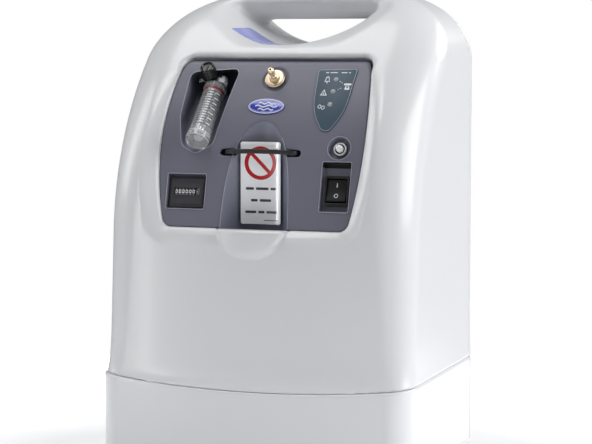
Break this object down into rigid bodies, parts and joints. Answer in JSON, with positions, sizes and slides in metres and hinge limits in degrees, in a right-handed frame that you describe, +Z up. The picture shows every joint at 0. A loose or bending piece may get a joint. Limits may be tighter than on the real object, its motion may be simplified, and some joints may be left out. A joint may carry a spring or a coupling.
{
  "type": "oxygen concentrator",
  "caption": "Free-standing home oxygen concentrator cabinet on swivel castors with a hand hole, control panel, sloping flowmeter, humidifier bay and rear intake filter.",
  "frame": {"origin": "on the floor, under the middle of the cabinet's bounding box", "axes": "+Z up; the control panel faces -Y; +X is to the right of a person facing the panel"},
  "size_m": [0.381, 0.305, 0.584],
  "materials": {
    "white_cabinet": "satin moulded thermoplastic with a faint sheen",
    "panel_grey": "fine-textured dark grey moulding",
    "black_plastic": "satin black moulding",
    "castor_tread": "dark grey tread",
    "rubber_mount": "black rubber",
    "clear_acrylic": "polished clear acrylic with printed rings",
    "soft_hose": "milky silicone hose",
    "brass": "machined brass",
    "steel": "plated sheet and bar",
    "plated_ring": "bright nickel plate",
    "white_button": "glossy white",
    "aluminium": "cast and drawn aluminium",
    "copper": "bare copper tube",
    "badge_film": "glossy blue film with a pale border",
    "window_film": "slate blue film with pale symbols",
    "lamp_lens": "frosted grey lens, unlit",
    "printed_card": "glossy laminated card with a red symbol",
    "counter_digits": "pale digits on dark drums",
    "filter_foam": "open-cell foam",
    "canister_plastic": "natural polypropylene",
    "board": "green solder mask"
  },
  "bodies": {
    "cabinet": {"base_pan": "steel", "base_skirt": "white_cabinet", "breaker_body": "plated_ring", "circuit_board": "board", "compressor_body": "aluminium", "compressor_head_left": "aluminium", "compressor_head_right": "aluminium", "compressor_mount": "rubber_mount", "control_panel": "panel_grey", "exhaust_grille": "panel_grey", "fan_frame": "black_plastic", "flowmeter_block": "black_plastic", "flowmeter_tube": "clear_acrylic", "front_cabinet": "white_cabinet", "handle_badge": "badge_film", "heat_exchanger": "copper", "hour_meter_housing": "black_plastic", "indicator_window": "window_film", "intake_filter": "canister_plastic", "lamp_alarm": "lamp_lens", "lamp_caution": "lamp_lens", "lamp_purity": "lamp_lens", "motor_capacitor": "aluminium", "notice_card": "printed_card", "outlet_filter": "canister_plastic", "outlet_fitting": "brass", "outlet_hose": "soft_hose", "panel_badge": "badge_film", "power_gland": "black_plastic", "product_tank": "canister_plastic", "rear_cabinet": "white_cabinet", "retention_strap": "black_plastic", "sieve_bed_left": "aluminium", "sieve_bed_right": "aluminium", "sound_box": "steel", "switch_housing": "black_plastic", "valve_manifold": "aluminium"},
    "castor_fork_front_left": {"castor_yoke_front_left": "black_plastic", "castor_axle_front_left": "steel"},
    "castor_roller_front_left": {"castor_wheel_front_left": "castor_tread"},
    "castor_fork_front_right": {"castor_yoke_front_right": "black_plastic", "castor_axle_front_right": "steel"},
    "castor_roller_front_right": {"castor_wheel_front_right": "castor_tread"},
    "castor_fork_rear_left": {"castor_yoke_rear_left": "black_plastic", "castor_axle_rear_left": "steel"},
    "castor_roller_rear_left": {"castor_wheel_rear_left": "castor_tread"},
    "castor_fork_rear_right": {"castor_yoke_rear_right": "black_plastic", "castor_axle_rear_right": "steel"},
    "castor_roller_rear_right": {"castor_wheel_rear_right": "castor_tread"},
    "knob": {"flow_knob": "black_plastic"},
    "float": {"flow_float": "steel"},
    "reset_button": {"breaker_button": "white_button"},
    "rocker": {"switch_rocker": "black_plastic"},
    "tenths_wheel": {"tenth_hour_drum": "counter_digits"},
    "hours_wheels": {"hour_drums": "counter_digits"},
    "compressor_shaft": {"compressor_rotor": "steel"},
    "fan_rotor": {"cooling_fan_rotor": "black_plastic"},
    "spool": {"valve_spool": "steel"},
    "filter_cassette": {"filter_cover": "white_cabinet", "cabinet_filter": "filter_foam"}
  },
  "joints": [
    {"name": "castor_swivel_front_left", "type": "hinge", "parent": "cabinet", "child": "castor_fork_front_left", "pos_m": [-0.15, -0.108, 0.05], "axis": [0, 0, 1], "continuous": true},
    {"name": "castor_roll_front_left", "type": "hinge", "parent": "castor_fork_front_left", "child": "castor_roller_front_left", "pos_m": [-0.15, -0.096, 0.02], "axis": [1, 0, 0], "continuous": true},
    {"name": "castor_swivel_front_right", "type": "hinge", "parent": "cabinet", "child": "castor_fork_front_right", "pos_m": [0.15, -0.108, 0.05], "axis": [0, 0, 1], "continuous": true},
    {"name": "castor_roll_front_right", "type": "hinge", "parent": "castor_fork_front_right", "child": "castor_roller_front_right", "pos_m": [0.15, -0.096, 0.02], "axis": [1, 0, 0], "continuous": true},
    {"name": "castor_swivel_rear_left", "type": "hinge", "parent": "cabinet", "child": "castor_fork_rear_left", "pos_m": [-0.15, 0.108, 0.05], "axis": [0, 0, 1], "continuous": true},
    {"name": "castor_roll_rear_left", "type": "hinge", "parent": "castor_fork_rear_left", "child": "castor_roller_rear_left", "pos_m": [-0.15, 0.12, 0.02], "axis": [1, 0, 0], "continuous": true},
    {"name": "castor_swivel_rear_right", "type": "hinge", "parent": "cabinet", "child": "castor_fork_rear_right", "pos_m": [0.15, 0.108, 0.05], "axis": [0, 0, 1], "continuous": true},
    {"name": "castor_roll_rear_right", "type": "hinge", "parent": "castor_fork_rear_right", "child": "castor_roller_rear_right", "pos_m": [0.15, 0.12, 0.02], "axis": [1, 0, 0], "continuous": true},
    {"name": "flow_knob_turn", "type": "hinge", "parent": "cabinet", "child": "knob", "pos_m": [-0.083, -0.05241, 0.48127], "axis": [0, -0.7128, 0.7013], "range_deg": [-720, 720]},
    {"name": "flow_float_rise", "type": "slide", "parent": "cabinet", "child": "float", "axis": [0, 0.7013, 0.7128], "range_m": [0, 0.055]},
    {"name": "breaker_reset", "type": "slide", "parent": "cabinet", "child": "reset_button", "axis": [0, -0.9382, 0.346], "range_m": [0, 0.004]},
    {"name": "power_rocker", "type": "hinge", "parent": "cabinet", "child": "rocker", "pos_m": [0.096, -0.11138, 0.35226], "axis": [1, 0, 0], "range_deg": [0, 16]},
    {"name": "tenths_wheel_turn", "type": "hinge", "parent": "cabinet", "child": "tenths_wheel", "pos_m": [-0.0868, -0.10493, 0.34509], "axis": [1, 0, 0], "continuous": true},
    {"name": "hours_wheels_turn", "type": "hinge", "parent": "cabinet", "child": "hours_wheels", "pos_m": [-0.0868, -0.10493, 0.34509], "axis": [1, 0, 0], "continuous": true},
    {"name": "compressor_spin", "type": "hinge", "parent": "cabinet", "child": "compressor_shaft", "pos_m": [0, 0.02, 0.14], "axis": [1, 0, 0], "continuous": true},
    {"name": "cooling_fan_spin", "type": "hinge", "parent": "cabinet", "child": "fan_rotor", "pos_m": [0, -0.01, 0.264], "axis": [0, 0, 1], "continuous": true},
    {"name": "spool_shift", "type": "slide", "parent": "cabinet", "child": "spool", "axis": [1, 0, 0], "range_m": [-0.006, 0.006]},
    {"name": "filter_cover_pull", "type": "slide", "parent": "cabinet", "child": "filter_cassette", "axis": [0, 1, 0], "range_m": [0, 0.03]}
  ],
  "couplings": [
    {"joint": "hours_wheels_turn", "follows": "tenths_wheel_turn", "ratio": 0.1}
  ]
}
